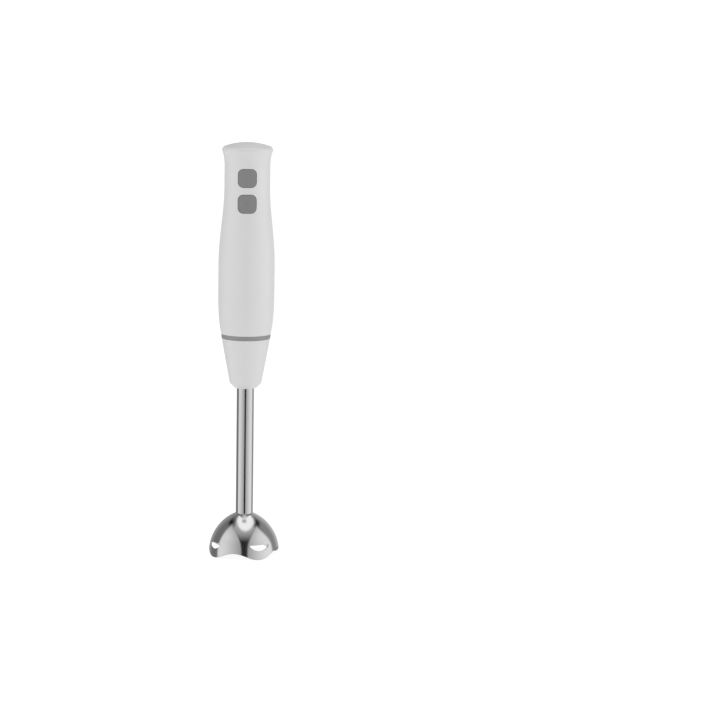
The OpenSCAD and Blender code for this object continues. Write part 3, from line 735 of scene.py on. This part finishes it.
def plastic(name, colour, roughness, grain=0.35 * MM, depth=0.006 * MM, coat=0.0):
    """Moulded plastic: fine spark-eroded grain, slight shade drift and shinier, handled spots."""
    s = Shader(name, colour, roughness, coat=coat)
    s.tint(s.noise(28 * MM, 2), 0.985, 1.015)
    s.roughness(s.spread(s.noise(9 * MM, 4), roughness - 0.05, roughness + 0.05))
    s.bump(s.noise(grain, 2), depth)
    s.bump(s.noise(14 * MM, 1), 0.02 * MM, 0.35)
    return s.material


def soft_touch(name, colour):
    """Soft-touch rubber of the buttons."""
    s = Shader(name, colour, 0.62, specular=0.35)
    s.tint(s.noise(6 * MM, 3), 0.96, 1.04)
    s.roughness(s.spread(s.noise(2.5 * MM, 4), 0.55, 0.7))
    s.bump(s.noise(0.22 * MM, 2), 0.008 * MM)
    return s.material


def polished_steel(name, colour, roughness):
    """Mirror-polished stainless steel with faint lathe lines and wiped smears."""
    s = Shader(name, colour, roughness, metallic=1.0)
    s.tint(s.noise(20 * MM, 2), 0.985, 1.01)
    s.roughness(s.spread(s.noise(11 * MM, 5, (1, 1, 0.5)), roughness * 0.7, roughness * 1.5))
    s.bump(s.noise(0.12 * MM, 2, (0.02, 0.02, 1)), 0.0012 * MM)
    return s.material


def ground_steel(name, colour, roughness, across=(0.05, 0.05, 1)):
    """Drawn, turned or ground steel, its lines across one axis."""
    s = Shader(name, colour, roughness, metallic=1.0)
    s.tint(s.noise(5 * MM, 3), 0.94, 1.04)
    s.roughness(s.spread(s.noise(0.4 * MM, 3, across), roughness * 0.75, roughness * 1.3))
    s.bump(s.noise(0.15 * MM, 2, across), 0.004 * MM)
    return s.material


def cast_metal(name, colour, roughness, grain):
    """Sintered, stamped or wound metal with an even grain."""
    s = Shader(name, colour, roughness, metallic=1.0)
    s.tint(s.noise(3 * MM, 3), 0.88, 1.06)
    s.roughness(s.spread(s.noise(grain * 2, 3), roughness * 0.8, roughness * 1.2))
    s.bump(s.noise(grain, 3), 0.01 * MM)
    return s.material


def rubber(name, colour):
    """Matt rubber with a dusty bloom."""
    s = Shader(name, colour, 0.78, specular=0.3)
    s.tint(s.noise(4 * MM, 4), 0.8, 1.35)
    s.roughness(s.spread(s.noise(1.5 * MM, 4), 0.68, 0.86))
    s.bump(s.noise(0.18 * MM, 3), 0.012 * MM)
    return s.material


def sintered(name, colour):
    """Ferrite or carbon: dull, with a granular break."""
    s = Shader(name, colour, 0.7)
    s.tint(s.noise(0.8 * MM, 4), 0.75, 1.3)
    s.roughness(s.spread(s.noise(0.6 * MM, 3), 0.55, 0.85))
    s.bump(s.noise(0.25 * MM, 4), 0.02 * MM)
    return s.material


MATERIALS = {
    "polished_steel": polished_steel("polished_steel", (0.6, 0.6, 0.603), 0.1),
    "blade_steel": ground_steel("blade_steel", (0.62, 0.62, 0.63), 0.24, (1, 0.06, 1)),
    "rod_steel": ground_steel("rod_steel", (0.6, 0.61, 0.63), 0.26),
    "screw_steel": ground_steel("screw_steel", (0.5, 0.51, 0.53), 0.34, (1, 1, 1)),
    "body_plastic": plastic("body_plastic", (0.6, 0.6, 0.6), 0.36),
    "trim_plastic": plastic("trim_plastic", (0.235, 0.235, 0.235), 0.38),
    "button_plastic": soft_touch("button_plastic", (0.195, 0.195, 0.195)),
    "socket_plastic": plastic("socket_plastic", (0.36, 0.36, 0.37), 0.48),
    "black_plastic": plastic("black_plastic", (0.025, 0.025, 0.027), 0.45),
    "rubber": rubber("rubber", (0.03, 0.03, 0.032)),
    "bronze": cast_metal("bronze", (0.42, 0.27, 0.15), 0.5, 0.3 * MM),
    "can_steel": ground_steel("can_steel", (0.5, 0.51, 0.53), 0.38, (1, 1, 0.3)),
    "ferrite": sintered("ferrite", (0.05, 0.05, 0.055)),
    "brass": cast_metal("brass", (0.72, 0.52, 0.24), 0.3, 0.5 * MM),
    "copper_wire": cast_metal("copper_wire", (0.55, 0.22, 0.1), 0.32, 0.35 * MM),
    "board_green": plastic(
        "board_green", (0.02, 0.16, 0.06), 0.35, grain=0.8 * MM, depth=0.02 * MM, coat=0.3),
    "film_yellow": plastic("film_yellow", (0.62, 0.38, 0.06), 0.3, grain=0.5 * MM, coat=0.3),
}
SLOT_OF = {row["node"]: row["material_slot"] for row in frame["record"]["subparts"]}


def dress(obj, slot):
    """Gives an object the material of one of the record's slots."""
    obj.data.materials.clear()
    obj.data.materials.append(MATERIALS[slot])
    return obj


def place(obj, node, body):
    """Puts a finished piece on its body in place of its CAD node."""
    dress(obj, SLOT_OF[node])
    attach(obj, body)
    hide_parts(node)


for cad_name, cad_object in frame["nodes"].items():
    dress(cad_object, SLOT_OF[cad_name])

place(bell(), "bell", "leg")
place(tube(), "tube", "leg")
place(leg_collar(), "leg_collar", "leg")
place(trim_ring(), "trim_ring", "motor_unit")
place(front_housing(), "front_housing", "motor_unit")
place(rear_housing(), "rear_housing", "motor_unit")
place(top_cap(), "top_cap", "motor_unit")
for button_name in BUTTONS:
    place(button(button_name), button_name, button_name)


# ---------- studio ----------

# Side panels in the shine: brightness near the gap, its rise to the far edge, and that rise's form
PANEL_NEAR = 0.52
PANEL_RISE = 0.62
PANEL_CURVE = 1.3
PANEL_WIDTH = 0.85
# Brightness of the rest of the shine: the panel overhead, the gap ahead, the back and the floor
OVERHEAD = 1.4
GAP = 0.03
DIM = 0.3
FLOOR_SHINE = 0.8
# Brightness around matt surfaces and behind the blender
FILL = 0.75
TO_THE_EYE = 1.2
FLOOR_SHADE = 0.2
FLOOR_GLOW = 0.9
BOX_DISTANCE = 1.3


class World:
    """The studio's surroundings, written as sums over the direction looked in.

    A direction is 1 long: x to the right, ahead towards the side with the buttons, z up.
    """

    def __init__(self):
        world = bpy.data.worlds.new("studio")
        bpy.context.scene.world = world
        world.use_nodes = True
        world.cycles.sampling_method = "NONE"
        self.tree = world.node_tree
        split = self.tree.nodes.new("ShaderNodeSeparateXYZ")
        direction = self.tree.nodes.new("ShaderNodeTexCoord").outputs["Generated"]
        self.tree.links.new(direction, split.inputs[0])
        self.x, y, self.z = split.outputs
        self.path = self.tree.nodes.new("ShaderNodeLightPath").outputs
        self.ahead = self.math("MULTIPLY", y, -1)
        self.aside = self.math("ABSOLUTE", self.x)
        self.is_right = self.ramp(self.x, -0.05, 0.05)

    def put(self, value, socket):
        if isinstance(value, (int, float)):
            socket.default_value = value
        else:
            self.tree.links.new(value, socket)

    def math(self, operation, *values):
        node = self.tree.nodes.new("ShaderNodeMath")
        node.operation = operation
        for value, socket in zip(values, node.inputs):
            self.put(value, socket)
        return node.outputs[0]

    def ramp(self, value, start, end, low_value=0.0, high_value=1.0):
        """Goes smoothly from one value to another as the input goes from start to end."""
        node = self.tree.nodes.new("ShaderNodeMapRange")
        node.interpolation_type = "SMOOTHSTEP"
        for name, number in (("Value", value), ("From Min", start), ("From Max", end),
                             ("To Min", low_value), ("To Max", high_value)):
            self.put(number, node.inputs[name])
        return node.outputs["Result"]

    def sides(self, left, right):
        """One value on the left and another on the right."""
        return self.ramp(self.is_right, 0, 1, left, right)

    def plus(self, one, two):
        return self.math("ADD", one, two)

    def minus(self, one, two):
        return self.math("SUBTRACT", one, two)

    def times(self, *values):
        total = values[0]
        for value in values[1:]:
            total = self.math("MULTIPLY", total, value)
        return total

    def length(self, one, two):
        return self.math("SQRT", self.plus(self.times(one, one), self.times(two, two)))


def side_panels(w):
    """Two tall panels beside the camera, with a gap between them that widens upwards."""
    gap_left, gap_right, gap_spread = 0.14, 0.19, 0.55
    rise = w.math("MAXIMUM", w.z, 0)
    gap = w.plus(w.sides(gap_left, gap_right), w.times(w.math("POWER", rise, 3), gap_spread))
    past_gap = w.minus(w.aside, gap)
    left_end, right_low_end, right_high_end = -0.14, -0.33, -0.07
    right_end = w.ramp(w.z, 0.1, 0.75, right_low_end, right_high_end)
    rear_end = w.plus(w.times(right_end, w.is_right), w.sides(left_end, 0))
    share = w.math("MAXIMUM", w.math("DIVIDE", past_gap, PANEL_WIDTH), 0)
    brightness = w.plus(PANEL_NEAR, w.times(w.math("POWER", share, PANEL_CURVE), PANEL_RISE))
    gap_edge = w.ramp(past_gap, -0.03, 0.05)
    rear_edge = w.ramp(w.minus(w.ahead, rear_end), -0.14, 0.14)
    higher_up = w.ramp(w.z, 0.3, 0.8, 1, 1.35)
    top_edge = w.ramp(w.z, 0.8, 0.9, 1, 0)
    return w.times(gap_edge, rear_edge, brightness, higher_up, top_edge, w.sides(0.97, 1.06))


def overhead_panel(w):
    """Oval panel overhead, slightly to the right and behind."""
    middle_x, middle_ahead, half_x, half_ahead = 0.045, -0.1, 0.45, 0.65
    across = w.math("DIVIDE", w.minus(w.x, middle_x), half_x)
    along = w.math("DIVIDE", w.minus(w.ahead, middle_ahead), half_ahead)
    edge = w.ramp(w.length(across, along), 0.7, 1.12, OVERHEAD, 0)
    return w.times(edge, w.ramp(w.z, 0.3, 0.5))


def dark_parts(w):
    """What the panels leave: the dark gap ahead, the dim back and a darker patch on each side."""
    is_rear = w.ramp(w.ahead, 0.1, -0.3)
    front = w.ramp(w.z, 0.5, 0.95, GAP, 0.6)
    rear = w.times(w.ramp(w.ahead, -0.55, -0.95, DIM, 0.55), w.sides(0.78, 1.15))
    dim = w.plus(w.times(front, w.minus(1, is_rear)), w.times(rear, is_rear))
    patch_aside, patch_z, patch_shade = 0.54, 0.785, 0.08
    off = w.length(w.minus(w.aside, patch_aside), w.minus(w.z, patch_z))
    is_front = w.ramp(w.ahead, -0.1, 0.15)
    patch = w.math("MAXIMUM", w.ramp(off, 0.03, 0.2, patch_shade, 1), is_front)
    return w.times(dim, patch)


def make_world():
    """White to the eye, soft fill for matt surfaces, and a box of light panels for the shine."""
    w = World()
    bright = w.math("MAXIMUM", side_panels(w), overhead_panel(w))
    shine = w.math("MAXIMUM", dark_parts(w), bright)
    below = w.ramp(w.z, -0.26, -0.42)
    shine = w.plus(w.times(shine, w.minus(1, below)), w.times(below, FLOOR_SHINE))
    matt = w.plus(FILL, w.times(w.path["Is Camera Ray"], TO_THE_EYE - FILL))
    pick = w.tree.nodes.new("ShaderNodeMix")
    factor, matt_in, shine_in = pick.inputs[0], pick.inputs[2], pick.inputs[3]
    w.put(w.path["Is Glossy Ray"], factor)
    w.put(matt, matt_in)
    w.put(shine, shine_in)
    back = w.tree.nodes["Background"]
    back.inputs["Color"].default_value = (1, 1, 1, 1)
    w.put(pick.outputs[0], back.inputs["Strength"])


def make_floor():
    """Wide pale floor, left out of reflections so that the metal mirrors the panels alone."""
    half = 12
    corners = [(-half, -half, 0), (half, -half, 0), (half, half, 0), (-half, half, 0)]
    floor = make_object("floor", corners, [(0, 1, 2, 3)])
    s = Shader("floor_pale", (FLOOR_SHADE, FLOOR_SHADE, FLOOR_SHADE), 0.8, specular=0.0)
    s.bsdf.inputs["Emission Color"].default_value = (1, 1, 1, 1)
    s.bsdf.inputs["Emission Strength"].default_value = FLOOR_GLOW
    floor.data.materials.append(s.material)
    floor.visible_glossy = False


def softbox(name, azimuth, elevation, width, height, power):
    """Area light for the matt surfaces, at a bearing from straight ahead, aimed at the middle."""
    light = bpy.data.lights.new(name, "AREA")
    light.shape = "RECTANGLE"
    light.size = width
    light.size_y = height
    light.energy = power
    obj = bpy.data.objects.new(name, light)
    a, e = math.radians(azimuth), math.radians(elevation)
    arm = Vector((math.sin(a) * math.cos(e), -math.cos(a) * math.cos(e), math.sin(e)))
    obj.location = Vector((0, 0, TOP_Z / 2)) + arm * BOX_DISTANCE
    obj.rotation_euler = (-arm).to_track_quat("-Z", "Y").to_euler()
    obj.visible_camera = False
    obj.visible_glossy = False
    bpy.context.scene.collection.objects.link(obj)


def make_camera():
    """Long lens far ahead of the buttons and a little above, aimed to the right of the blender."""
    elevation = math.radians(8.0)
    distance = 3.2
    aim_right, aim_down = 0.1058, 0.0086
    roll = math.radians(0.8)
    centre = Vector((0, 0, TOP_Z / 2))
    data = bpy.data.cameras.new("camera")
    data.sensor_width = 36
    data.lens = 172.9
    data.clip_end = 100
    camera = bpy.data.objects.new("camera", data)
    camera.location = centre + Vector((0, -math.cos(elevation), math.sin(elevation))) * distance
    target = centre + Vector((aim_right, 0, -aim_down))
    look = (target - camera.location).to_track_quat("-Z", "Y")
    camera.rotation_euler = look.to_euler()
    camera.rotation_euler.rotate_axis("Z", roll)
    bpy.context.scene.collection.objects.link(camera)
    bpy.context.scene.camera = camera


make_floor()
make_world()
make_camera()
softbox("left_box", azimuth=-72, elevation=14, width=1.3, height=1.1, power=4.4)
softbox("right_box", azimuth=72, elevation=14, width=1.3, height=1.1, power=5.2)
softbox("top_box", azimuth=0, elevation=84, width=0.8, height=1.0, power=1.7)
bpy.context.scene.view_settings.view_transform = "Standard"

bpy.context.view_layer.update()
